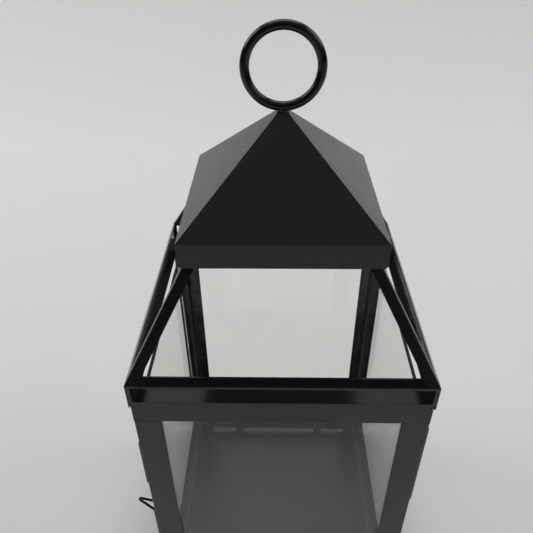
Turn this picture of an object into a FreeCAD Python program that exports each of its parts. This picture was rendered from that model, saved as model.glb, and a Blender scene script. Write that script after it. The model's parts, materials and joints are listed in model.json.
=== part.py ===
"""Candle lantern: a square glazed body with a side door, an open roof frame, a folded cap and a ring.

Millimetres. The origin is the middle of the footprint on the ground, +Z is up,
the front is -Y and the door is on the left, -X.
"""
import FreeCAD, Part
import math
import os

os.makedirs("parts", exist_ok=True)
doc = FreeCAD.newDocument("candle_lantern")

# ---------------------------------------------------------------- driving sizes
SIZES = {
    # body
    "body_half": 99,            # outside of the square body, from its middle
    "steel": 1,                 # sheet thickness
    "post_leg": 19,             # leg of a corner post on the front or the back
    "side_leg": 7,              # short leg of a front post on a side
    "back_leg": 2.5,            # short leg of a back post on a side
    "band_top": 285,            # top of the body
    "band_drop": 19,            # height of the front and back top rails
    "side_drop": 4,             # height of the side top rails
    "ledge": 17,                # flange of the front and back top rails
    "side_ledge": 4,            # flange of the side top rails
    "rail_low": 5.5,            # underside of the bottom rails, above an air slot
    "rail_high": 31,            # top of the bottom rails
    "tray_level": 1,            # floor that the candle stands on
    "tray_margin": 3.5,         # base plate beyond the body
    "tab_width": 9,
    "tab_high": 17,             # top of the tray's upright tabs
    "tab_offset": 48,           # tabs from the middle of each side
    # glass of the body
    "pane": 2.5,
    "pane_half": 89.5,
    "side_stand": 5.4,          # how far the right pane stands in from its rail
    "door_stand": 5.15,         # how far the door's pane stands in from its frame
    "pane_low": 19,
    "pane_high": 283,
    "clip": 0.8,                # thickness of a glass clip
    "clip_width": 8,
    "clip_lap": 7,              # how far a clip reaches over the glass
    "clip_offset": 83,
    "clip_gap": 0.1,            # between a door clip and the edge of the pane
    "front_clip_lap": 4,        # narrow laps of the clips on the door's stiles
    "back_clip_lap": 1,
    # overlaid side frames, the door on the left and the fixed frame on the right
    "frame": 0.9,
    "frame_edge": 98,           # front edge of a side frame
    "frame_low": 13,
    "frame_high": 280.5,
    "window_front": 80,
    "window_back": 95.5,
    "window_high": 274,
    "relief": 6,                # depth of the reliefs in the front edges
    "right_relief_high": 259,   # the fixed frame's edge is full between these heights
    "right_relief_low": 175,
    "door_relief_high": 240,    # above this the door's edge is set back
    "finger_relief_low": 156,   # finger relief beside the latch
    "finger_relief_high": 193,
    "door_gap": 0.1,            # between the door and the posts
    "door_back": 92,
    "door_window_back": 87.5,
    "door_sill": 43,
    "door_pane_low": 35,
    "door_pane_high": 280,
    "door_pane_front": 84,
    "door_pane_back": 90,
    "low_clip": 83,             # heights of the clips on the door's stiles
    "high_clip": 228,
    "sill_clip": 50,            # clips on the door's sill from the middle
    # hinges
    "hinge_x": 101.6,
    "hinge_y": 95,
    "knuckle": 2.5,             # outer radius
    "knuckle_tall": 12,
    "pin": 1.2,                 # radius
    "pin_play": 0.05,
    "pin_head": 0.9,            # height of the head
    "pin_rim": 0.5,             # how far the head stops inside the knuckle's outside
    "knuckle_gap": 0.2,         # between a lower and an upper knuckle
    "leaf": 7,                  # reach of a hinge leaf
    "low_hinge": 63,
    "high_hinge": 218,
    # latch
    "wire": 1,                  # radius of the latch wire
    "latch_y": 89,
    "latch_level": 139,
    "latch_play": 0.06,
    "wire_bend": 1.5,           # radius of its bends, at the middle of the wire
    "catch_gap": 2.2,           # catch finger in from the outside of the body
    "finger": 8,                # length of the catch finger
    "handle_gap": 2.4,          # foot of the handle out from the body
    "handle_out": 14,
    "handle_rise": 20,          # tip of the handle above the shaft
    "handle_return": 14.8,      # end of the wire above the shaft
    # roof
    "roof_half": 100,
    "eave": 301,
    "roof_top": 375,
    "slope": 60,                # degrees from level
    "hip_leg": 8,               # front or back leg of a hip bar, measured level
    "hip_side_leg": 6,          # its leg on a side
    "roof_sheet": 1.15,         # thickness of the roof steel, measured level
    "roof_rail": 5.2,           # height of the sloping rails
    "lip": 2,                   # upright lip under the front and back rails
    "skirt_low": 281,
    "skirt_return": 3,
    # cap, stud and ring
    "cap_half": 64.5,
    "cap_low": 367.7,
    "cap_eave": 384.9,
    "cap_apex": 446.5,
    "cap_flat": 4,              # half width of the flat at the apex
    "hem": 2.6,
    "stud": 2.5,                # radius
    "stud_low": 357,
    "nut_flats": 8,
    "nut_tall": 4,
    "washer": 8,                # radius
    "bolt_play": 0.2,           # round the stud in the plates
    "washer_play": 0.1,
    "collar": 1.2,              # foot of the ring's collar beyond the stud
    "collar_top": 0.2,
    "collar_tall": 2,
    "vent": 6,                  # radius of a vent hole
    "vent_offset": 30,
    "ring_level": 469.8,
    "ring_lean": 2.3,           # degrees that the ring leans back, about its foot
    "ring_radius": 23.5,
    "ring_rod": 3,              # radius
    # drawing aids
    "over": 1,                  # how far a cutting tool runs past what it cuts
}

sheet = doc.addObject("Spreadsheet::Sheet", "sizes")
for row, (alias, value) in enumerate(SIZES.items(), start=1):
    sheet.set(f"A{row}", alias)
    sheet.set(f"B{row}", str(value))
    sheet.setAlias(f"B{row}", alias)
doc.recompute()

PARTS = []      # the finished sub-parts, in the order they are made


# ---------------------------------------------------------------- helpers
def S(text):
    """Put the sheet's name in front of each of its aliases in an expression."""
    words = []
    word = ""
    for letter in text + " ":
        if letter.isalnum() or letter == "_":
            word += letter
            continue
        words.append(f"sizes.{word}" if word in SIZES else word)
        words.append(letter)
        word = ""
    return "".join(words).strip()


def place(item, x, y, z):
    """Bind an object's position to three expressions."""
    for axis, where in zip("xyz", (x, y, z)):
        item.setExpression(f"Placement.Base.{axis}", S(where))


def box(name, x, y, z):
    """A box between (low, high) pairs of expressions along X, Y and Z."""
    item = doc.addObject("Part::Box", name)
    for prop, (low, high) in zip(("Length", "Width", "Height"), (x, y, z)):
        item.setExpression(prop, S(f"({high}) - ({low})"))
    place(item, x[0], y[0], z[0])
    return item


def rod(name, radius, start, tall, axis=(0, 0, 1)):
    """A round bar from its start along an axis."""
    item = doc.addObject("Part::Cylinder", name)
    item.Placement.Rotation = FreeCAD.Rotation(FreeCAD.Vector(0, 0, 1), FreeCAD.Vector(*axis))
    item.setExpression("Radius", S(radius))
    item.setExpression("Height", S(tall))
    place(item, *start)
    return item


def fuse(name, *items):
    item = doc.addObject("Part::MultiFuse", name)
    item.Shapes = list(items)
    return item


def cut(name, base, tool):
    item = doc.addObject("Part::Cut", name)
    item.Base = base
    item.Tool = tool
    return item


def group(name, *items):
    """Separate solids that make one sub-part, such as a set of clips."""
    item = doc.addObject("Part::Compound", name)
    item.Links = list(items)
    return item


def turn(item, quarters):
    """Turn an object that is placed on the lantern's axis by quarter turns about it."""
    about_axis = FreeCAD.Rotation(FreeCAD.Vector(0, 0, 1), 90 * quarters)
    item.Placement.Rotation = about_axis.multiply(item.Placement.Rotation)
    return item


def finish(label, item):
    """Name a finished sub-part and put it on the list."""
    item.Label = label
    PARTS.append(item)
    return item


def half_at(level):
    """Half the width of the roof's outside at a level, as an expression."""
    return f"(roof_half - (({level}) - eave) / tan(slope * 1 deg))"


def sloped(name, low, high, left, right, inset, thick):
    """A plate in the front plane of the roof, with level ends at low and high.

    left and right are its sides, with {half} for the roof's half width at that
    level; inset is how far its outer face lies inside the roof's outside.
    """
    item = doc.addObject("Part::Wedge", name)
    item.Placement.Rotation = FreeCAD.Rotation(FreeCAD.Vector(1, 0, 0), 90)
    item.setExpression("Ymin", "0")
    item.setExpression("Ymax", S(f"({high}) - ({low})"))
    for prefix, level in (("", low), ("2", high)):
        half = half_at(level)
        item.setExpression(f"X{prefix}min", S(left.format(half=half)))
        item.setExpression(f"X{prefix}max", S(right.format(half=half)))
        item.setExpression(f"Z{prefix}min", S(f"{half} - {inset} - {thick}"))
        item.setExpression(f"Z{prefix}max", S(f"{half} - {inset}"))
    place(item, "0", "0", low)
    return item


SIDES = ("front", "right", "back", "left")      # quarter turns from the front


# ---------------------------------------------------------------- tray and posts
def tray():
    """The base plate, a little wider than the body, with upright tabs that hold the bottom rails."""
    inner = "body_half - steel"
    outer = "body_half + tray_margin"
    plate = box("floor_plate", (f"-({outer})", outer), (f"-({outer})", outer), ("0", "tray_level"))
    tabs = []
    for quarter, side in enumerate(SIDES):
        for sign, end in ((-1, "a"), (1, "b")):
            tab = box(f"tab_{side}_{end}",
                      (f"{sign} * tab_offset - tab_width / 2", f"{sign} * tab_offset + tab_width / 2"),
                      (f"-({inner})", "2 * steel - body_half"), ("0", "tab_high"))
            tabs.append(turn(group(f"tab_{side}_{end}_turned", tab), quarter))
    finish("base_tray", fuse("tray", plate, *tabs))


def post(label, quarter, mirror):
    """A corner post on the base plate: a wide leg on the front or back and a short one on the side."""
    edge = "-body_half"
    short_leg = "back_leg" if quarter else "side_leg"
    wide = box(f"{label}_wide", (edge, "post_leg - body_half"), (edge, "steel - body_half"),
               ("tray_level", "band_top - band_drop"))
    short = box(f"{label}_short", (edge, "steel - body_half"),
                ("steel - body_half", f"{short_leg} - body_half"), ("tray_level", "band_top - side_drop"))
    angle = fuse(f"{label}_angle", wide, short)
    if mirror:
        other = doc.addObject("Part::Mirroring", f"{label}_mirrored")
        other.Source = angle
        other.Normal = FreeCAD.Vector(1, 0, 0)
        angle = group(f"{label}_one", other)
    finish(label, turn(angle, quarter))


def posts():
    post("front_left_post", 0, False)
    post("front_right_post", 0, True)
    post("back_right_post", 2, False)
    post("back_left_post", 2, True)


def rails():
    """Top and bottom rails of the body: deep ones front and back, slim ones on the sides."""
    edge = "-body_half"
    for quarter in (0, 2):
        face = box(f"band_face_{quarter}", (edge, "body_half"), (edge, "steel - body_half"),
                   ("band_top - band_drop", "band_top"))
        flange = box(f"band_flange_{quarter}", ("steel - body_half", "body_half - steel"),
                     (edge, "ledge - body_half"), ("band_top - steel", "band_top"))
        finish(f"{SIDES[quarter]}_top_rail", turn(fuse(f"band_{quarter}", face, flange), quarter))
    for quarter in (1, 3):
        end = "body_half - steel"
        inner = "body_half - ledge"
        face = box(f"side_rail_face_{quarter}", (f"-({end})", end), (edge, "steel - body_half"),
                   ("band_top - side_drop", "band_top"))
        flange = box(f"side_rail_flange_{quarter}", (f"-({inner})", inner),
                     (edge, "side_ledge - body_half"), ("band_top - steel", "band_top"))
        finish(f"{SIDES[quarter]}_top_rail", turn(fuse(f"side_rail_{quarter}", face, flange), quarter))
    ends = {"front": ("post_leg - body_half", "body_half - post_leg"),
            "right": ("side_leg - body_half", "body_half - back_leg"),
            "back": ("post_leg - body_half", "body_half - post_leg"),
            "left": ("back_leg - body_half", "body_half - side_leg")}
    for quarter, side in enumerate(SIDES):
        strip = box(f"bottom_strip_{side}", ends[side], (edge, "steel - body_half"),
                    ("rail_low", "rail_high"))
        finish(f"{side}_bottom_rail", turn(group(f"bottom_rail_{side}", strip), quarter))


# ---------------------------------------------------------------- fixed glass
def fixed_glass(quarter, stand):
    """A pane that stands in from the rails of one side, held by two clips below and two above."""
    side = SIDES[quarter]
    seat = "steel - body_half"
    face = f"{seat} + {stand}"
    back = f"{face} + pane"
    glass = box(f"pane_{side}", ("-pane_half", "pane_half"), (face, back), ("pane_low", "pane_high"))
    finish(f"{side}_glass", turn(group(f"glass_{side}", glass), quarter))
    head = "band_top - steel"
    feet = {"low": ("pane_low - clip", "pane_low"), "high": (f"{head} - clip", head)}
    laps = {"low": ("pane_low - clip", "pane_low + clip_lap"), "high": ("pane_high - clip_lap", head)}
    clips = []
    for sign in (-1, 1):
        across = (f"{sign} * clip_offset - clip_width / 2", f"{sign} * clip_offset + clip_width / 2")
        for end in ("low", "high"):
            name = f"{side}_{end}_{sign + 1}"
            pieces = [box(f"clip_foot_{name}", across, (seat, f"{back} + clip"), feet[end]),
                      box(f"clip_inner_lap_{name}", across, (back, f"{back} + clip"), laps[end])]
            if stand != "0":
                pieces.append(box(f"clip_outer_lap_{name}", across, (f"{face} - clip", face), laps[end]))
            clips.append(fuse(f"clip_{name}", *pieces))
    finish(f"{side}_glass_clips", turn(group(f"clips_{side}", *clips), quarter))


# ---------------------------------------------------------------- side frames and door
def side_frame(name, near, far, back, window_back, sill, relief_bands):
    """A flat pressed frame, from near to far along X, with reliefs in its front edge."""
    plate = box(f"{name}_plate", (near, far), ("-frame_edge", back), ("frame_low", "frame_high"))
    through = (f"{near} - over", f"{far} + over")
    window = box(f"{name}_window", through, ("-window_front", window_back),
                 (sill, "window_high"))
    reliefs = [box(f"{name}_relief_{number}", through,
                   ("-frame_edge - over", f"-frame_edge + {depth}"), band)
               for number, (band, depth) in enumerate(relief_bands)]
    return cut(f"{name}_cut", plate, fuse(f"{name}_openings", window, *reliefs))


def right_side():
    frame = side_frame("right_frame", "body_half", "body_half + frame", "frame_edge", "window_back",
                       "rail_high",
                       ((("right_relief_high", "frame_high + over"), "relief"),
                        (("frame_low - over", "right_relief_low"), "relief / 2")))
    finish("right_side_frame", frame)


def sorted_pair(edge, near, far, out):
    """A (low, high) pair of expressions on the outer side of an edge, by its direction."""
    ends = (f"{edge} + {near}", f"{edge} + {far}")
    return ends if out > 0 else (ends[1], ends[0])


def door():
    """The door: a pressed frame overlaid on the left side, its pane and six clips."""
    inner = "-body_half - door_gap"
    frame = side_frame("door", f"{inner} - frame", inner, "door_back", "door_window_back", "door_sill",
                       ((("door_relief_high", "frame_high + over"), "relief"),
                        (("finger_relief_low", "finger_relief_high"), "relief")))
    bore = rod("door_latch_bore", "wire + latch_play",
               (f"{inner} - frame - over", "-latch_y", "latch_level"), "frame + 2 * over", (1, 0, 0))
    finish("door_frame", cut("door_with_bore", frame, bore))
    face = f"{inner} + door_stand"
    back = f"{face} + pane"
    outer_lap = (f"{face} - clip", face)
    finish("door_glass", box("door_pane", (face, back), ("-door_pane_front", "door_pane_back"),
                             ("door_pane_low", "door_pane_high")))
    clips = []
    for number, level in enumerate(("low_clip", "high_clip")):
        span = (f"{level} - clip_width / 2", f"{level} + clip_width / 2")
        for end, edge, out in (("front", "-door_pane_front", -1), ("back", "door_pane_back", 1)):
            stem = sorted_pair(edge, f"{out} * clip_gap", f"{out} * (clip_gap + clip)", out)
            lap = sorted_pair(edge, f"{-out} * {end}_clip_lap", f"{out} * (clip_gap + clip)", out)
            clips.append(fuse(
                f"door_clip_{end}_{number}",
                box(f"door_clip_stem_{end}_{number}", (inner, f"{back} + clip"), stem, span),
                box(f"door_clip_outer_lap_{end}_{number}", outer_lap, lap, span),
                box(f"door_clip_lap_{end}_{number}", (back, f"{back} + clip"), lap, span)))
    for number, middle in enumerate(("-sill_clip", "sill_clip")):
        span = (f"{middle} - clip_width / 2", f"{middle} + clip_width / 2")
        foot = ("door_pane_low - clip_gap - clip", "door_pane_low - clip_gap")
        clips.append(fuse(
            f"door_clip_low_{number}",
            box(f"door_clip_foot_{number}", (inner, f"{back} + clip"), span, foot),
            box(f"door_clip_outer_up_{number}", outer_lap, span, (foot[0], "door_pane_low + clip_lap")),
            box(f"door_clip_up_{number}", (back, f"{back} + clip"), span,
                (foot[0], "door_pane_low + clip_lap"))))
    finish("door_glass_clips", group("door_clips", *clips))


def hinges():
    """Two butt hinges: a lower knuckle on the post, an upper one on the door and a pin."""
    post_leaves = []
    door_leaves = []
    pins = []
    for name, level in (("low", "low_hinge"), ("high", "high_hinge")):
        upper = f"{level} + knuckle_tall + knuckle_gap"
        axis = ("-hinge_x", "hinge_y")
        barrel = rod(f"post_barrel_{name}", "knuckle", (*axis, level), "knuckle_tall")
        leaf = box(f"post_leaf_{name}", ("-body_half - steel", "-body_half"),
                   ("hinge_y", "body_half"), (level, f"{level} + knuckle_tall"))
        hole = rod(f"post_bore_{name}", "pin", (*axis, f"{level} - over"), "knuckle_tall + 2 * over")
        post_leaves.append(cut(f"post_knuckle_{name}", fuse(f"post_half_{name}", barrel, leaf), hole))
        barrel = rod(f"door_barrel_{name}", "knuckle", (*axis, upper), "knuckle_tall")
        face = "-body_half - door_gap - frame"
        leaf = box(f"door_leaf_{name}", (f"{face} - frame", face), ("hinge_y - leaf", "hinge_y"),
                   (upper, f"{upper} + knuckle_tall"))
        hole = rod(f"door_bore_{name}", "pin + pin_play", (*axis, f"{upper} - over"),
                   "knuckle_tall + 2 * over")
        door_leaves.append(cut(f"door_knuckle_{name}", fuse(f"door_half_{name}", barrel, leaf), hole))
        shank = rod(f"pin_shank_{name}", "pin", (*axis, level), "2 * (knuckle_tall + knuckle_gap)")
        head = rod(f"pin_head_{name}", "knuckle - pin_rim",
                   (*axis, f"{upper} + knuckle_tall + knuckle_gap"), "pin_head")
        pins.append(fuse(f"pin_{name}", shank, head))
    finish("hinge_post_leaves", group("post_hinges", *post_leaves))
    finish("hinge_door_leaves", group("door_hinges", *door_leaves))
    finish("hinge_pins", group("pins", *pins))


def rounded_path(points, radius):
    """A wire through the points, its corners rounded to one radius."""
    edges = []
    start = points[0]
    for before, corner, after in zip(points, points[1:], points[2:]):
        back = (before - corner).normalize()
        ahead = (after - corner).normalize()
        half_angle = back.getAngle(ahead) / 2
        reach = radius / math.tan(half_angle)
        middle = corner + (back + ahead).normalize() * (radius / math.sin(half_angle) - radius)
        edges.append(Part.LineSegment(start, corner + back * reach).toShape())
        edges.append(Part.Arc(corner + back * reach, middle, corner + ahead * reach).toShape())
        start = corner + ahead * reach
    edges.append(Part.LineSegment(start, points[-1]).toShape())
    return Part.Wire(edges)


def latch():
    """One bent wire: a catch finger inside, the shaft, and a V-shaped handle outside."""
    catch_x = sheet.catch_gap - sheet.body_half
    face_x = -sheet.body_half - sheet.handle_gap
    tip_x = face_x - sheet.handle_out
    points = [FreeCAD.Vector(x, -sheet.latch_y, sheet.latch_level + rise) for x, rise in (
        (catch_x, sheet.finger), (catch_x, 0), (face_x, 0),
        (tip_x, sheet.handle_rise), (face_x, sheet.handle_return))]
    section = Part.Wire([Part.makeCircle(sheet.wire, points[0], FreeCAD.Vector(0, 0, 1))])
    item = doc.addObject("Part::Feature", "latch_wire_shape")
    item.Shape = rounded_path(points, sheet.wire_bend).makePipeShell([section], True, False)
    item.Placement = FreeCAD.Placement()
    finish("latch_wire", item)


# ---------------------------------------------------------------- roof
def roof():
    """Hip bars, rails with skirts or lips, and the plate under the cap: the frame is open between them."""
    for quarter, side in enumerate(SIDES):
        name = ("front_right", "back_right", "back_left", "front_left")[quarter]
        leg, next_leg = ("hip_side_leg", "hip_leg") if quarter % 2 else ("hip_leg", "hip_side_leg")
        near = sloped(f"hip_near_{quarter}", "eave", "roof_top", f"{{half}} - {leg}", "{half}",
                      "0", "roof_sheet")
        far = turn(sloped(f"hip_far_{quarter}", "eave", "roof_top", "-{half}", f"{next_leg} - {{half}}",
                          "0", "roof_sheet"), 1)
        finish(f"{name}_hip_bar", turn(fuse(f"hip_{quarter}", near, far), quarter))

        rail = sloped(f"eave_slope_{quarter}", "eave", "eave + roof_rail",
                      f"{leg} - {{half}}", f"{{half}} - {leg}", "0", "roof_sheet")
        edge = "-roof_half"
        face = (edge, "steel - roof_half")
        if quarter % 2:
            inner = "roof_half"
            skirt = box(f"skirt_{quarter}", (f"-{inner}", inner), face, ("skirt_low", "eave"))
            extras = [skirt]
            for sign, ends in ((0, (edge, "steel - roof_half")), (1, ("roof_half - steel", "roof_half"))):
                extras.append(box(f"skirt_return_{quarter}_{sign}", ends,
                                  (edge, "skirt_return - roof_half"), ("band_top", "eave")))
        else:
            inner = "roof_half - skirt_return"
            extras = [box(f"lip_{quarter}", (f"-({inner})", inner), face, ("eave - lip", "eave"))]
        finish(f"{side}_eave_rail", turn(fuse(f"eave_{quarter}", rail, *extras), quarter))

        top = sloped(f"top_slope_{quarter}", "roof_top - roof_rail", "roof_top",
                     f"{leg} - {{half}}", f"{{half}} - {leg}", "0", "roof_sheet")
        finish(f"{side}_roof_top_rail", turn(top, quarter))


def cap_and_ring():
    """The folded cap, the plate it is bolted to, the stud, nut, washer and carrying ring."""
    edge = half_at("roof_top")
    plate = box("vent_plate_sheet", (f"-{edge}", edge), (f"-{edge}", edge),
                ("roof_top", "roof_top + steel"))
    through = "steel + 2 * over"
    holes = [rod("vent_plate_bore", "stud + bolt_play", ("0", "0", "roof_top - over"), through)]
    for number in range(9):
        x, y = number % 3 - 1, number // 3 - 1
        if x or y:
            holes.append(rod(f"vent_{number}", "vent",
                             (f"{x} * vent_offset", f"{y} * vent_offset", "roof_top - over"), through))
    finish("vent_plate", cut("vent_plate_cut", plate, fuse("vents", *holes)))

    rise = "(cap_apex - cap_eave)"
    lean = f"({rise} / cap_half)"
    drop = f"(steel * sqrt(1 + {lean} ^ 2))"        # sheet thickness measured upright

    def pyramid(name, inset, lower):
        item = doc.addObject("Part::Wedge", name)
        item.Placement.Rotation = FreeCAD.Rotation(FreeCAD.Vector(1, 0, 0), 90)
        low = f"cap_half - {inset}"
        for axis in "XZ":
            item.setExpression(f"{axis}min", S(f"-({low})"))
            item.setExpression(f"{axis}max", S(low))
            item.setExpression(f"{axis}2min", "-" + S("cap_flat"))
            item.setExpression(f"{axis}2max", S("cap_flat"))
        item.setExpression("Ymin", "0")
        item.setExpression("Ymax", S(f"(cap_half - {inset} - cap_flat) * {lean}"))
        place(item, "0", "0", f"cap_eave + {inset} * {lean} - {lower}")
        return item

    outside = fuse("cap_outside", pyramid("cap_pyramid", "0", "0"),
                   box("cap_fascia", ("-cap_half", "cap_half"), ("-cap_half", "cap_half"),
                       ("cap_low", "cap_eave")))
    inner = "cap_half - steel"
    lipped = "cap_half - hem"
    hollow = fuse("cap_hollow", pyramid("cap_inner_pyramid", "steel", drop),
                  box("cap_inner_fascia", (f"-({inner})", inner), (f"-({inner})", inner),
                      ("cap_low + steel", f"cap_eave + steel * {lean} - {drop}")),
                  box("cap_mouth", (f"-({lipped})", lipped), (f"-({lipped})", lipped),
                      ("cap_low - over", "cap_low + 2 * steel")),
                  rod("cap_bore", "stud + washer_play", ("0", "0", "cap_low"), "cap_apex - cap_low"))
    finish("cap", cut("cap_shell", outside, hollow))

    def leaning_ring(name):
        item = doc.addObject("Part::Torus", name)
        item.Placement.Rotation = FreeCAD.Rotation(FreeCAD.Vector(1, 0, 0), 90 - sheet.ring_lean)
        item.setExpression("Radius1", S("ring_radius"))
        item.setExpression("Radius2", S("ring_rod"))
        place(item, "0", "ring_radius * sin(ring_lean)", "ring_level")
        return item

    finish("carrying_ring", leaning_ring("ring_round"))
    seat = leaning_ring("stud_seat")
    shank = rod("stud_shank", "stud", ("0", "0", "stud_low"),
                "ring_level - ring_radius - stud_low")
    flat = "cap_apex - cap_flat * (cap_apex - cap_eave) / cap_half"
    collar = doc.addObject("Part::Cone", "stud_collar")
    collar.setExpression("Radius1", S("stud + collar"))
    collar.setExpression("Radius2", S("stud + collar_top"))
    collar.setExpression("Height", S("collar_tall"))
    place(collar, "0", "0", flat)
    finish("ring_stud", cut("stud_seated", fuse("stud_bar", shank, collar), seat))

    washer = cut("washer_cut", rod("washer_round", "washer", ("0", "0", "roof_top - steel"), "steel"),
                 rod("washer_bore", "stud + washer_play", ("0", "0", "roof_top - steel - over"), through))
    finish("stud_washer", washer)
    nut = doc.addObject("Part::Prism", "nut_prism")
    nut.Polygon = 6
    nut.setExpression("Circumradius", S("nut_flats / 2 / cos(30 deg)"))
    nut.setExpression("Height", S("nut_tall"))
    place(nut, "0", "0", "roof_top - steel - nut_tall")
    nut_bore = rod("nut_bore", "stud", ("0", "0", "roof_top - steel - nut_tall - over"),
                   "nut_tall + 2 * over")
    finish("stud_nut", cut("nut_cut", nut, nut_bore))


def write():
    """Check every object and write one STEP file for each sub-part."""
    doc.recompute()
    for item in doc.Objects:
        faults = {"Invalid", "Error"} & set(item.State)
        if faults:
            raise RuntimeError(f"{item.Name} failed: {faults}")
    for item in PARTS:
        shape = item.Shape
        if shape.isNull() or not shape.isValid() or not shape.Solids:
            raise RuntimeError(f"{item.Label} has a bad shape")
        shape.exportStep(f"parts/{item.Label}.step")
        print(item.Label, len(shape.Solids), round(shape.Volume))


tray()
posts()
rails()
for glazed, stand in ((0, "0"), (1, "side_stand"), (2, "0")):
    fixed_glass(glazed, stand)
right_side()
door()
hinges()
latch()
roof()
cap_and_ring()
write()
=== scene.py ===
"""Candle lantern: eased folds, powder coat, glass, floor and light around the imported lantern."""
import json
import math

import bpy
from mathutils import Matrix, Vector

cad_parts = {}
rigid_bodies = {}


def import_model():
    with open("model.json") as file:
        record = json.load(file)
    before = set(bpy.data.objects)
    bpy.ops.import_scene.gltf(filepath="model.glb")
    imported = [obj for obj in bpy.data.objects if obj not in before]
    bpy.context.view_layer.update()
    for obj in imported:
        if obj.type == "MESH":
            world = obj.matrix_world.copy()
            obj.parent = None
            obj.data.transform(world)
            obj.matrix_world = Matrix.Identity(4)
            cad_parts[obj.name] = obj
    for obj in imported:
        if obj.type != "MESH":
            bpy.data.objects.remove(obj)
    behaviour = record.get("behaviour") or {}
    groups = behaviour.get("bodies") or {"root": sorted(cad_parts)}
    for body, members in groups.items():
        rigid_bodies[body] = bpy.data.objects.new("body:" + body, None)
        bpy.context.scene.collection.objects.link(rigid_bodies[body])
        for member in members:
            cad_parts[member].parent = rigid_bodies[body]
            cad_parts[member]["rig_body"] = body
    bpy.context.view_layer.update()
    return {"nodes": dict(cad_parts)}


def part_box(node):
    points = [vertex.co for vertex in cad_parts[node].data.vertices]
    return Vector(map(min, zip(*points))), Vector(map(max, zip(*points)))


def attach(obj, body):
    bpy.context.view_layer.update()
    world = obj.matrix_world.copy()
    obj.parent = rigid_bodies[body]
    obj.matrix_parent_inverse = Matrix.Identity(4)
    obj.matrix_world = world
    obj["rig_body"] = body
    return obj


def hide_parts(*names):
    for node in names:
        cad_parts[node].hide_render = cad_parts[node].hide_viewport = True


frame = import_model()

NODES = frame["nodes"]
MM = 0.001
FOLD = 1.0 * MM                 # bend radius of the corner posts
HIP_FOLD = 0.8 * MM             # bend radius along the hips
HIP_SLOPE = math.tan(math.radians(60))
SHEET_EDGE = 0.18 * MM          # easing of the cut sheet edges
LEG_EDGE = 0.16 * MM            # the same on posts and hip bars
SMALL_EDGE = 0.12 * MM          # the same on clips, leaves and rod
FASTENER_EDGE = 0.2 * MM
PANE_ARRIS = 0.25 * MM
CAP_FOLD = 0.5 * MM
CAP_NIP = 1.8 * MM              # cut off the foot of the cap's corners
TOUCH = 1e-5                    # how near counts as on the same line or level
SHARP = math.radians(35)        # folds sharper than this are rounded
SMOOTH = math.radians(50)       # and softer than this are shaded smooth
CORNER_WELD_IN = 1.6 * MM       # from the end of the deep rail
CORNER_WELD_UP = 14.5 * MM      # above its lower edge
LEG_WELD_IN = 3.0 * MM
RIB_OUT = 2.7 * MM              # ribs in front of the middle of the ring

# ---------------------------------------------------------------- looks
PAINT = (0.0078, 0.0080, 0.0076, 1)
PAINT_FADED = (0.0110, 0.0112, 0.0104, 1)
WIRE_BLACK = (0.003, 0.003, 0.003, 1)
ZINC = (0.52, 0.53, 0.54, 1)
DUST_AND_SHEEN = (0.16, 0.155, 0.145, 1)
GLASS_PASSES = (0.985, 0.995, 0.985, 1)
GLASS_EDGE = (0.018, 0.034, 0.028, 1)
GLASS_EDGE_PALE = (0.05, 0.075, 0.066, 1)
PAPER = (0.80, 0.80, 0.79, 1)


class Finish:
    """A node material, with short calls to add and join its nodes."""

    def __init__(self, name):
        self.material = bpy.data.materials.new(name)
        self.material.use_nodes = True
        self.tree = self.material.node_tree
        self.tree.nodes.clear()
        self.output = self.tree.nodes.new("ShaderNodeOutputMaterial")
        place = self.tree.nodes.new("ShaderNodeTexCoord")
        self.place = place.outputs["Object"]

    def node(self, kind, **inputs):
        made = self.tree.nodes.new(kind)
        for key, value in inputs.items():
            socket = made.inputs[key.replace("_", " ")]
            if isinstance(value, bpy.types.NodeSocket):
                self.tree.links.new(value, socket)
            else:
                socket.default_value = value
        return made

    def noise(self, scale, detail=2.0, rough=0.5):
        return self.node("ShaderNodeTexNoise", Vector=self.place, Scale=scale,
                         Detail=detail, Roughness=rough).outputs["Fac"]

    def remap(self, value, low, high, to_low, to_high):
        made = self.node("ShaderNodeMapRange", Value=value)
        for key, number in (("From Min", low), ("From Max", high), ("To Min", to_low), ("To Max", to_high)):
            made.inputs[key].default_value = number
        return made.outputs["Result"]

    def blend(self, factor, first, second):
        made = self.tree.nodes.new("ShaderNodeMix")
        made.data_type = "RGBA"
        self.tree.links.new(factor, made.inputs["Factor"])
        for key, colour in (("A", first), ("B", second)):
            socket = next(s for s in made.inputs if s.name == key and s.type == "RGBA")
            if isinstance(colour, bpy.types.NodeSocket):
                self.tree.links.new(colour, socket)
            else:
                socket.default_value = colour
        return next(s for s in made.outputs if s.type == "RGBA")

    def calc(self, operation, first, second):
        made = self.tree.nodes.new("ShaderNodeMath")
        made.operation = operation
        for socket, value in zip(made.inputs, (first, second)):
            if isinstance(value, bpy.types.NodeSocket):
                self.tree.links.new(value, socket)
            else:
                socket.default_value = value
        return made.outputs["Value"]

    def bump(self, height, strength, distance):
        made = self.node("ShaderNodeBump", Height=height)
        made.inputs["Strength"].default_value = strength
        made.inputs["Distance"].default_value = distance
        return made.outputs["Normal"]

    def surface(self, shader):
        self.tree.links.new(shader, self.output.inputs["Surface"])
        return self.material


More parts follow.
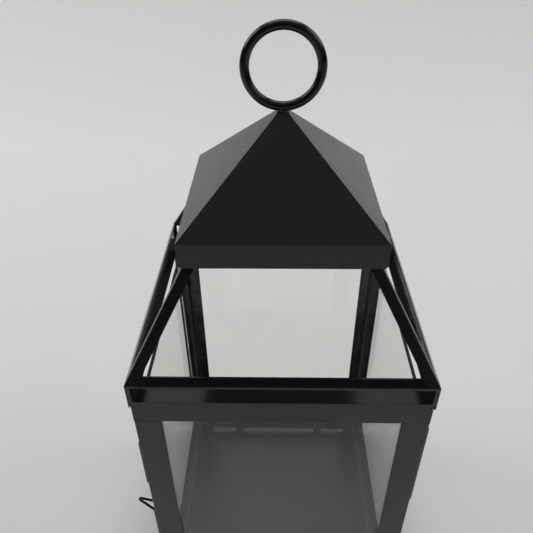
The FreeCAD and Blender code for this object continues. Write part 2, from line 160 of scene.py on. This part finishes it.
def powder_coat(name, colour, faded, rough_low, rough_high, grain, dust_and_sheen=0.25):
    """Sprayed and baked paint: a fine orange peel, sparse pale specks of dust, laid on thicker as a painted
    sheen where a coat needs to look lighter, and faint patches of dull and bright.
    """
    f = Finish(name)
    patches = f.noise(18.0, 3.0)
    peel = f.noise(grain, 2.0, 0.6)
    specks = f.remap(f.noise(1500.0, 1.0), 0.70, 0.78, 0.0, 1.0)
    tone = f.blend(f.remap(patches, 0.35, 0.65, 0.0, 1.0), colour, faded)
    dust_and_sheen_tone = f.blend(f.calc("MULTIPLY", specks, dust_and_sheen), tone, DUST_AND_SHEEN)
    rough = f.calc("ADD", f.remap(peel, 0.3, 0.7, rough_low, rough_high),
                   f.remap(patches, 0.3, 0.7, -0.02, 0.03))
    shader = f.node("ShaderNodeBsdfPrincipled", Base_Color=dust_and_sheen_tone, Roughness=rough,
                    Normal=f.bump(peel, 0.12, 0.00008))
    shader.inputs["IOR"].default_value = 1.5
    return f.surface(shader.outputs["BSDF"])


def gloss_black(name):
    """Dipped enamel over round rod: smoother than the sheet, with faint waves along it."""
    f = Finish(name)
    waves = f.noise(140.0, 2.0)
    fine = f.noise(1100.0, 1.0)
    tone = f.blend(f.remap(waves, 0.35, 0.65, 0.0, 1.0), WIRE_BLACK, PAINT_FADED)
    shader = f.node("ShaderNodeBsdfPrincipled", Base_Color=tone,
                    Roughness=f.remap(fine, 0.3, 0.7, 0.17, 0.25), Normal=f.bump(waves, 0.2, 0.0001))
    shader.inputs["IOR"].default_value = 1.5
    return f.surface(shader.outputs["BSDF"])


def bright_metal(name, colour, scale, rough_low, rough_high):
    """Bare plated steel with fine drawn scratches and mottled plating."""
    f = Finish(name)
    mottle = f.noise(scale, 4.0, 0.6)
    scratches = f.noise(scale * 9, 1.0)
    tone = f.blend(f.remap(mottle, 0.35, 0.65, 0.0, 1.0), colour,
                   tuple(0.72 * c for c in colour[:3]) + (1,))
    shader = f.node("ShaderNodeBsdfPrincipled", Base_Color=tone,
                    Roughness=f.remap(scratches, 0.3, 0.7, rough_low, rough_high),
                    Normal=f.bump(scratches, 0.2, 0.00005))
    shader.inputs["Metallic"].default_value = 1.0
    return f.surface(shader.outputs["BSDF"])


def clear_glass(name):
    """Float glass: shows what is behind it and mirrors more at a glancing angle, with faint smears."""
    f = Finish(name)
    smear = f.noise(30.0, 3.0)
    facing = f.tree.nodes.new("ShaderNodeLayerWeight")
    facing.inputs["Blend"].default_value = 0.5
    grazing = f.calc("POWER", facing.outputs["Facing"], 5.0)
    mirror = f.calc("ADD", f.calc("MULTIPLY", grazing, 0.96), 0.04)
    tint = f.blend(f.remap(smear, 0.3, 0.7, 0.0, 1.0), GLASS_PASSES,
                   tuple(0.99 * c for c in GLASS_PASSES[:3]) + (1,))
    through = f.node("ShaderNodeBsdfTransparent", Color=tint)
    gloss = f.node("ShaderNodeBsdfGlossy", Roughness=f.remap(smear, 0.3, 0.7, 0.015, 0.03))
    mixed = f.node("ShaderNodeMixShader", Fac=mirror)
    f.tree.links.new(through.outputs["BSDF"], mixed.inputs[1])
    f.tree.links.new(gloss.outputs["BSDF"], mixed.inputs[2])
    return f.surface(mixed.outputs["Shader"])


def glass_edge(name):
    """The ground edge of a pane, where the green of the glass shows."""
    f = Finish(name)
    grind = f.noise(700.0, 2.0)
    tone = f.blend(f.remap(grind, 0.3, 0.7, 0.0, 1.0), GLASS_EDGE, GLASS_EDGE_PALE)
    shader = f.node("ShaderNodeBsdfPrincipled", Base_Color=tone,
                    Roughness=f.remap(grind, 0.3, 0.7, 0.25, 0.45))
    return f.surface(shader.outputs["BSDF"])


def paper(name):
    """Matt backdrop paper, very slightly clouded."""
    f = Finish(name)
    cloud = f.noise(1.3, 2.0)
    tone = f.blend(f.remap(cloud, 0.3, 0.7, 0.0, 1.0), PAPER, tuple(0.985 * c for c in PAPER[:3]) + (1,))
    shader = f.node("ShaderNodeBsdfPrincipled", Base_Color=tone)
    shader.inputs["Roughness"].default_value = 0.9
    shader.inputs["Specular IOR Level"].default_value = 0.1
    return f.surface(shader.outputs["BSDF"])


SHEET_BLACK = powder_coat("satin_black_powder_coat", PAINT, PAINT_FADED, 0.22, 0.31, 1900.0)
ROD_BLACK = gloss_black("gloss_black_enamel")
RAIL_BLACK = powder_coat("glossier_black_powder_coat", PAINT, PAINT_FADED, 0.13, 0.19, 1900.0, 0.4)
TRAY_BLACK = powder_coat("tray_black_powder_coat", PAINT, PAINT_FADED, 0.28, 0.34, 500.0, 0.15)
# hip bars: heavy pale speckling, partly dust and partly a painted reflection that lightens the bars
SPECKLED_BLACK = powder_coat("speckled_black_powder_coat", PAINT, PAINT_FADED, 0.26, 0.40, 1400.0, 0.6)
ZINC_PLATE = bright_metal("zinc_plate", ZINC, 160.0, 0.25, 0.4)
PANE_GLASS = clear_glass("clear_float_glass")
PANE_EDGE = glass_edge("green_glass_edge")


# ---------------------------------------------------------------- shaping
def alone(piece):
    """Select one object only."""
    bpy.ops.object.select_all(action="DESELECT")
    piece.select_set(True)
    bpy.context.view_layer.objects.active = piece


def apply(piece, kind, **settings):
    """Add one modifier with its settings and apply it."""
    alone(piece)
    modifier = piece.modifiers.new(kind.lower(), kind)
    for key, value in settings.items():
        setattr(modifier, key, value)
    bpy.ops.object.modifier_apply(modifier=modifier.name)


def merged_copy(node):
    """A copy of a CAD node's mesh with its doubles merged and its flat faces whole."""
    piece = bpy.data.objects.new(f"{node}_finished", NODES[node].data.copy())
    bpy.context.scene.collection.objects.link(piece)
    piece.data.materials.clear()
    alone(piece)
    bpy.ops.object.mode_set(mode="EDIT")
    bpy.ops.mesh.select_all(action="SELECT")
    bpy.ops.mesh.remove_doubles(threshold=1e-6)
    bpy.ops.mesh.dissolve_limited(angle_limit=math.radians(0.5))
    bpy.ops.object.mode_set(mode="OBJECT")
    return piece


def select_edges(piece, wanted):
    """Select the edges whose two ends both satisfy a test of their place."""
    alone(piece)
    bpy.ops.object.mode_set(mode="EDIT")
    bpy.ops.mesh.select_mode(type="EDGE")
    bpy.ops.mesh.select_all(action="DESELECT")
    bpy.ops.object.mode_set(mode="OBJECT")
    for edge in piece.data.edges:
        ends = [piece.data.vertices[i].co for i in edge.vertices]
        edge.select = wanted(*ends)
    bpy.ops.object.mode_set(mode="EDIT")


def round_edges(piece, width, segments):
    """Bevel every sharp edge."""
    apply(piece, "BEVEL", width=width, segments=segments, limit_method="ANGLE",
          angle_limit=SHARP, use_clamp_overlap=True)


def ease(piece, width, segments=2):
    """Round every sharp edge a little, and shade it smooth without pulling the flats out of true."""
    round_edges(piece, width, segments)
    alone(piece)
    bpy.ops.object.shade_smooth_by_angle(angle=SMOOTH)
    apply(piece, "WEIGHTED_NORMAL", mode="FACE_AREA", weight=50, keep_sharp=True)


def hand_in(piece, material, slot, *nodes):
    """Give a finished piece its material, its body and the CAD nodes that it stands for."""
    if not piece.data.materials:
        piece.data.materials.append(material)
    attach(piece, NODES[nodes[0]]["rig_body"])
    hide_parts(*nodes)


SIDES = ("front", "right", "back", "left")
CORNERS = ("front_left", "front_right", "back_left", "back_right")


def sheet_parts():
    """Folded sheet: the posts keep a bend radius on the fold, and every cut edge is eased."""
    for corner in CORNERS:
        post = merged_copy(f"{corner}_post")
        low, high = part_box(f"{corner}_post")
        outer = (high.x if "right" in corner else low.x, high.y if "back" in corner else low.y)
        select_edges(post, lambda a, b: all(math.hypot(p.x - outer[0], p.y - outer[1]) < TOUCH
                                            for p in (a, b)))
        bpy.ops.mesh.bevel(offset=FOLD, segments=4, affect="EDGES")
        bpy.ops.object.mode_set(mode="OBJECT")
        ease(post, LEG_EDGE)
        hand_in(post, SHEET_BLACK, "black_steel", f"{corner}_post")
    coats = {f"{side}_{rail}": coat for side in SIDES
             for rail, coat in (("top_rail", RAIL_BLACK), ("eave_rail", RAIL_BLACK),
                                ("bottom_rail", SHEET_BLACK), ("roof_top_rail", SHEET_BLACK))}
    coats["base_tray"] = TRAY_BLACK
    for name in ("right_side_frame", "door_frame", "vent_plate"):
        coats[name] = SHEET_BLACK
    for name, coat in coats.items():
        part = merged_copy(name)
        ease(part, SHEET_EDGE)
        hand_in(part, coat, "black_steel", name)


def hips():
    """Folded hip bars: a bend radius along the hip, and paint with many more pale specks than the sheet:
    partly dust, partly a painted reflection that makes the bars lighter.
    """
    for corner in CORNERS:
        bar = merged_copy(f"{corner}_hip_bar")
        foot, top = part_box(f"{corner}_hip_bar")
        across = 1 if "right" in corner else -1
        along = 1 if "back" in corner else -1
        reach = max(abs(foot.x), abs(top.x))

        def on_hip(point):
            half = reach - (point.z - foot.z) / HIP_SLOPE
            return math.hypot(point.x - across * half, point.y - along * half) < 2 * TOUCH

        select_edges(bar, lambda a, b: on_hip(a) and on_hip(b))
        bpy.ops.mesh.bevel(offset=HIP_FOLD, segments=4, affect="EDGES")
        bpy.ops.object.mode_set(mode="OBJECT")
        ease(bar, LEG_EDGE)
        hand_in(bar, SPECKLED_BLACK, "black_steel", f"{corner}_hip_bar")


def glass_parts():
    """Panes with arrised edges: clear on the broad faces and green on the edges."""
    for name in ("front_glass", "right_glass", "back_glass", "door_glass"):
        pane = merged_copy(name)
        round_edges(pane, PANE_ARRIS, 1)
        pane.data.materials.append(PANE_GLASS)
        pane.data.materials.append(PANE_EDGE)
        broad = max(face.area for face in pane.data.polygons) * 0.5
        for face in pane.data.polygons:
            face.material_index = 0 if face.area > broad else 1
            face.use_smooth = False
        hand_in(pane, PANE_GLASS, "clear_glass", name)


def small_parts():
    """Clips, hinge leaves, rod and fasteners, each with its own coat."""
    for name in ("front_glass_clips", "right_glass_clips", "back_glass_clips", "door_glass_clips"):
        part = merged_copy(name)
        ease(part, SMALL_EDGE)
        hand_in(part, SHEET_BLACK, "clip_steel", name)
    for name in ("hinge_post_leaves", "hinge_door_leaves"):
        part = merged_copy(name)
        ease(part, SMALL_EDGE)
        hand_in(part, SHEET_BLACK, "black_steel", name)
    for name in ("hinge_pins", "latch_wire", "carrying_ring", "ring_stud"):
        part = merged_copy(name)
        ease(part, SMALL_EDGE)
        hand_in(part, ROD_BLACK, "gloss_black_wire", name)
    for name in ("stud_nut", "stud_washer"):
        part = merged_copy(name)
        ease(part, FASTENER_EDGE)
        hand_in(part, ZINC_PLATE, "zinc_fastener", name)


def cap():
    """The folded cap: nipped corners at the foot of its fascia and round folds."""
    part = merged_copy("cap")
    low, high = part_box("cap")
    alone(part)
    bpy.ops.object.mode_set(mode="EDIT")
    bpy.ops.mesh.select_mode(type="VERT")
    bpy.ops.mesh.select_all(action="DESELECT")
    bpy.ops.object.mode_set(mode="OBJECT")
    for vertex in part.data.vertices:
        foot = vertex.co.z < low.z + TOUCH
        vertex.select = foot and min(abs(vertex.co.x), abs(vertex.co.y)) > high.x - TOUCH
    bpy.ops.object.mode_set(mode="EDIT")
    bpy.ops.mesh.bevel(offset=CAP_NIP, affect="VERTICES")
    bpy.ops.object.mode_set(mode="OBJECT")
    ease(part, CAP_FOLD, 3)
    hand_in(part, SHEET_BLACK, "black_steel", "cap")


def rippled(blob, grain, depth):
    """Roughen a blob of weld with a ripple that lies in its surface."""
    ripple = bpy.data.textures.new(f"{blob.name}_ripple", "CLOUDS")
    ripple.noise_scale = grain
    apply(blob, "DISPLACE", texture=ripple, texture_coords="LOCAL", strength=depth, mid_level=0.5)
    alone(blob)
    bpy.ops.object.shade_smooth()


def bead(name, place, size, turn=0.0):
    """A blob of weld: a flattened ball, drawn out, with a ripple over it."""
    bpy.ops.object.select_all(action="DESELECT")
    bpy.ops.mesh.primitive_ico_sphere_add(subdivisions=4, radius=1.0, location=(0, 0, 0))
    blob = bpy.context.active_object
    blob.name = name
    bpy.ops.object.mode_set(mode="EDIT")
    bpy.ops.mesh.select_all(action="SELECT")
    bpy.ops.transform.resize(value=size)
    bpy.ops.transform.rotate(value=turn, orient_axis="Y", center_override=(0, 0, 0))
    bpy.ops.transform.translate(value=place)
    bpy.ops.object.mode_set(mode="OBJECT")
    rippled(blob, 1.4 * MM, 0.35 * MM)
    return blob


def add_weld(blob, material):
    """Give a weld its coat and its body."""
    blob.data.materials.append(material)
    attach(blob, "lantern")


def rail_welds():
    """Small blobs where the posts meet the deep rails."""
    low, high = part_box("front_top_rail")
    seam = low.z
    for side, face in (("front", low.y), ("back", -low.y)):
        for hand in (-1, 1):
            outer = hand * (high.x - CORNER_WELD_IN)
            add_weld(bead(f"{side}_corner_weld_{hand + 1}", (outer, face, seam + CORNER_WELD_UP),
                          (1.1 * MM, 0.3 * MM, 0.9 * MM)), SHEET_BLACK)
            inner = hand * (high.x - LEG_WELD_IN)
            add_weld(bead(f"{side}_leg_weld_{hand + 1}", (inner, face, seam),
                          (1.6 * MM, 0.3 * MM, 0.7 * MM), 0.2 * hand), SHEET_BLACK)


def ring_welds():
    """Two upright ribs on the foot of the ring, and the bead round it."""
    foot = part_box("carrying_ring")[0].z
    for number, (x, z, tall) in enumerate(((-0.9, 1.6, 3.4), (1.3, -0.2, 2.2))):
        add_weld(bead(f"ring_foot_rib_{number}", (x * MM, -RIB_OUT, foot + z * MM),
                      (0.75 * MM, 0.7 * MM, tall * MM)), ROD_BLACK)
    bpy.ops.object.select_all(action="DESELECT")
    bpy.ops.mesh.primitive_torus_add(major_radius=2.9 * MM, minor_radius=1.0 * MM, major_segments=48,
                                     minor_segments=16, location=(0, 0, 0))
    collar = bpy.context.active_object
    collar.name = "ring_foot_weld"
    bpy.ops.object.mode_set(mode="EDIT")
    bpy.ops.mesh.select_all(action="SELECT")
    bpy.ops.transform.resize(value=(1.0, 0.9, 1.15))
    bpy.ops.transform.translate(value=(0, 0, foot + 0.9 * MM))
    bpy.ops.object.mode_set(mode="OBJECT")
    rippled(collar, 1.6 * MM, 0.6 * MM)
    add_weld(collar, ROD_BLACK)


# ---------------------------------------------------------------- floor, light, camera
PAPER_WIDTH = 7.0
FLOOR_FRONT = -2.6
FLOOR_BACK = 1.0                # where the curve starts
CURVE = 0.8                     # radius of the curve
WALL_HEIGHT = 2.2               # of the wall above the curve
EYE = (-0.00402, -0.33146, 0.56033)
YAW, PITCH, ROLL = (math.radians(a) for a in (-1.219, 35.56, -0.479))
LENS = 36.39


def backdrop():
    """Seamless paper: a floor, a wide curve and a wall behind."""
    bpy.ops.mesh.primitive_plane_add(size=1.0, location=(0, 0, 0))
    sweep = bpy.context.active_object
    sweep.name = "paper_sweep"
    for vertex in sweep.data.vertices:
        vertex.co.x *= PAPER_WIDTH
        vertex.co.y = FLOOR_BACK if vertex.co.y > 0 else FLOOR_FRONT
    select_edges(sweep, lambda a, b: min(a.y, b.y) > FLOOR_BACK - 0.1)
    bpy.ops.mesh.spin(steps=24, angle=math.radians(-90), center=(0, FLOOR_BACK, CURVE), axis=(1, 0, 0))
    bpy.ops.mesh.extrude_region_move(TRANSFORM_OT_translate={"value": (0, 0, WALL_HEIGHT)})
    bpy.ops.object.mode_set(mode="OBJECT")
    bpy.ops.object.shade_smooth()
    sweep.data.materials.append(paper("pale_paper"))


def softbox(name, place, aim, width, height, power):
    light = bpy.data.lights.new(name, "AREA")
    light.shape = "RECTANGLE"
    light.size = width
    light.size_y = height
    light.energy = power
    lamp = bpy.data.objects.new(name, light)
    bpy.context.scene.collection.objects.link(lamp)
    lamp.location = place
    lamp.rotation_euler = (Vector(aim) - Vector(place)).to_track_quat("-Z", "Y").to_euler()


def room():
    """A room that is pale to look at past the paper, and dim where the paint mirrors it."""
    world = bpy.data.worlds.new("dim_room")
    world.use_nodes = True
    tree = world.node_tree
    dim = tree.nodes["Background"]
    dim.inputs["Color"].default_value = (1, 1, 0.99, 1)
    dim.inputs["Strength"].default_value = 0.02
    pale = tree.nodes.new("ShaderNodeBackground")
    pale.inputs["Color"].default_value = (1, 1, 0.99, 1)
    pale.inputs["Strength"].default_value = 0.5
    path = tree.nodes.new("ShaderNodeLightPath")
    mix = tree.nodes.new("ShaderNodeMixShader")
    tree.links.new(path.outputs["Is Camera Ray"], mix.inputs["Fac"])
    tree.links.new(dim.outputs["Background"], mix.inputs[1])
    tree.links.new(pale.outputs["Background"], mix.inputs[2])
    tree.links.new(mix.outputs["Shader"], tree.nodes["World Output"].inputs["Surface"])
    bpy.context.scene.world = world


def lights():
    """Big softboxes at the sides and above, a dim ceiling in front and a small window to the right."""
    softbox("left_box", (-2.2, 0.5, 1.9), (0, 0.6, 0.2), 1.6, 1.6, 26.5)
    softbox("right_box", (2.2, 0.3, 1.9), (0, 0.5, 0.2), 1.6, 1.6, 21.5)
    softbox("top_box", (0, 0.9, 3.0), (0, 0.6, 0), 2.6, 1.2, 28.5)
    softbox("room_ceiling", (0.4, -1.0, 2.3), (0.4, -1.0, 0), 3.0, 1.8, 3.0)
    softbox("front_window", (1.3, -1.6, 1.2), (0, -0.1, 0.3), 0.5, 0.9, 1.7)


def camera():
    """Looks down on the roof from in front, a little to the left."""
    ahead = Vector((math.sin(YAW) * math.cos(PITCH), math.cos(YAW) * math.cos(PITCH), -math.sin(PITCH)))
    level = Vector((math.cos(YAW), -math.sin(YAW), 0))
    above = level.cross(ahead)
    across = level * math.cos(ROLL) + above * math.sin(ROLL)
    upright = above * math.cos(ROLL) - level * math.sin(ROLL)
    data = bpy.data.cameras.new("camera")
    data.lens = LENS
    data.sensor_width = 36.0
    data.clip_start = 0.01
    eye = bpy.data.objects.new("camera", data)
    bpy.context.scene.collection.objects.link(eye)
    turned = Matrix((across, upright, -ahead)).transposed().to_4x4()
    eye.matrix_world = Matrix.Translation(EYE) @ turned
    bpy.context.scene.camera = eye


sheet_parts()
hips()
glass_parts()
small_parts()
cap()
rail_welds()
ring_welds()
backdrop()
room()
lights()
camera()
bpy.context.scene.view_settings.view_transform = "Standard"
